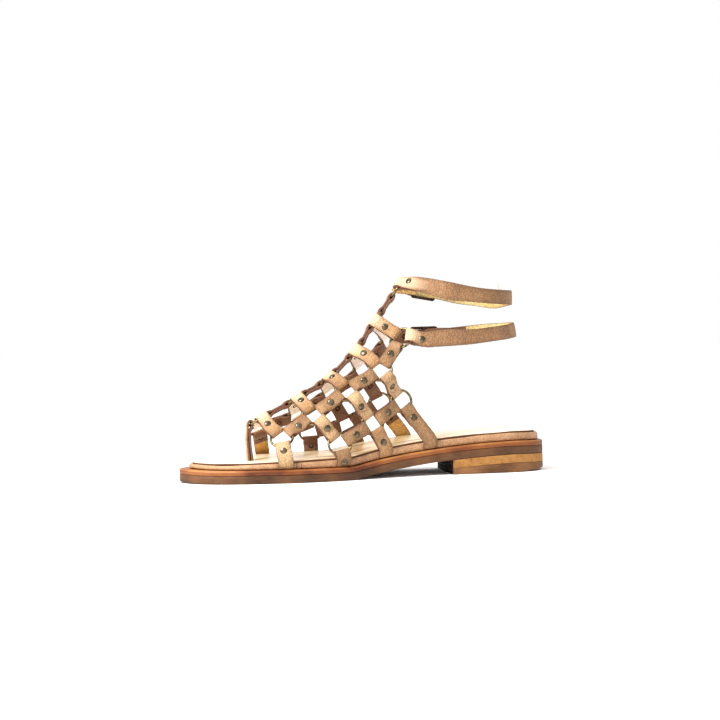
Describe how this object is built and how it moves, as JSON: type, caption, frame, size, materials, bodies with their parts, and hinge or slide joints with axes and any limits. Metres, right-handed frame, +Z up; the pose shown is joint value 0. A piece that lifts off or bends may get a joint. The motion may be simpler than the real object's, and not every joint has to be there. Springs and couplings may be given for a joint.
{
  "type": "gladiator sandal",
  "caption": "Flat gladiator sandal for the right foot: a net of riveted leather links on small metal rings, a toe thong and buckled ankle straps on a layered sole with a low stacked heel.",
  "frame": {"origin": "on the floor, under the middle of the sandal's box", "axes": "+X from toe to heel, -Y towards the medial side of a right foot, +Z up, floor at z = 0"},
  "size_m": [0.257, 0.0904, 0.1371],
  "materials": {
    "outsole_leather": "dyed and waxed sole leather, satin",
    "midsole_leather": "vegetable-tanned leather edge, satin",
    "strap_leather": "grained tan leather, satin, darker cut edges",
    "gold_cover": "pale gold foiled leather",
    "cork_lift": "ground cork agglomerate, matt",
    "top_lift": "dark brown rubber, satin",
    "antique_brass": "antique brass plate, worn"
  },
  "bodies": {
    "root": {"outsole": "outsole_leather", "midsole": "midsole_leather", "footbed": "strap_leather", "insole_cover": "gold_cover", "heel_lift": "cork_lift", "heel_top_lift": "top_lift", "spine_ring_0": "antique_brass", "spine_ring_1": "antique_brass", "spine_ring_2": "antique_brass", "spine_ring_3": "antique_brass", "spine_ring_4": "antique_brass", "spine_ring_5": "antique_brass", "spine_link_1": "strap_leather", "spine_link_2": "strap_leather", "spine_link_3": "strap_leather", "spine_link_4": "strap_leather", "spine_link_5": "strap_leather", "rung_link_medial_0": "strap_leather", "rung_link_medial_1": "strap_leather", "rung_link_medial_2": "strap_leather", "rung_link_medial_3": "strap_leather", "rung_link_medial_4": "strap_leather", "upper_row_medial_1": "strap_leather", "upper_row_medial_2": "strap_leather", "upper_row_medial_3": "strap_leather", "upper_row_medial_4": "strap_leather", "drop_link_medial_1": "strap_leather", "drop_link_medial_2": "strap_leather", "drop_link_medial_3": "strap_leather", "lower_row_medial_1": "strap_leather", "lower_row_medial_2": "strap_leather", "rung_link_lateral_0": "strap_leather", "rung_link_lateral_1": "strap_leather", "rung_link_lateral_2": "strap_leather", "rung_link_lateral_3": "strap_leather", "rung_link_lateral_4": "strap_leather", "upper_row_lateral_1": "strap_leather", "upper_row_lateral_2": "strap_leather", "upper_row_lateral_3": "strap_leather", "upper_row_lateral_4": "strap_leather", "drop_link_lateral_1": "strap_leather", "drop_link_lateral_2": "strap_leather", "drop_link_lateral_3": "strap_leather", "lower_row_lateral_1": "strap_leather", "lower_row_lateral_2": "strap_leather", "leg_medial_1": "strap_leather", "leg_medial_2": "strap_leather", "leg_medial_3": "strap_leather", "leg_medial_4": "strap_leather", "leg_lateral_1": "strap_leather", "leg_lateral_2": "strap_leather", "leg_lateral_3": "strap_leather", "leg_lateral_4": "strap_leather", "toe_thong": "strap_leather", "ankle_strap_upper": "strap_leather", "buckle_strap_upper": "strap_leather", "buckle_upper": "antique_brass", "ankle_strap_lower": "strap_leather", "buckle_strap_lower": "strap_leather", "buckle_lower": "antique_brass"}
  },
  "joints": []
}
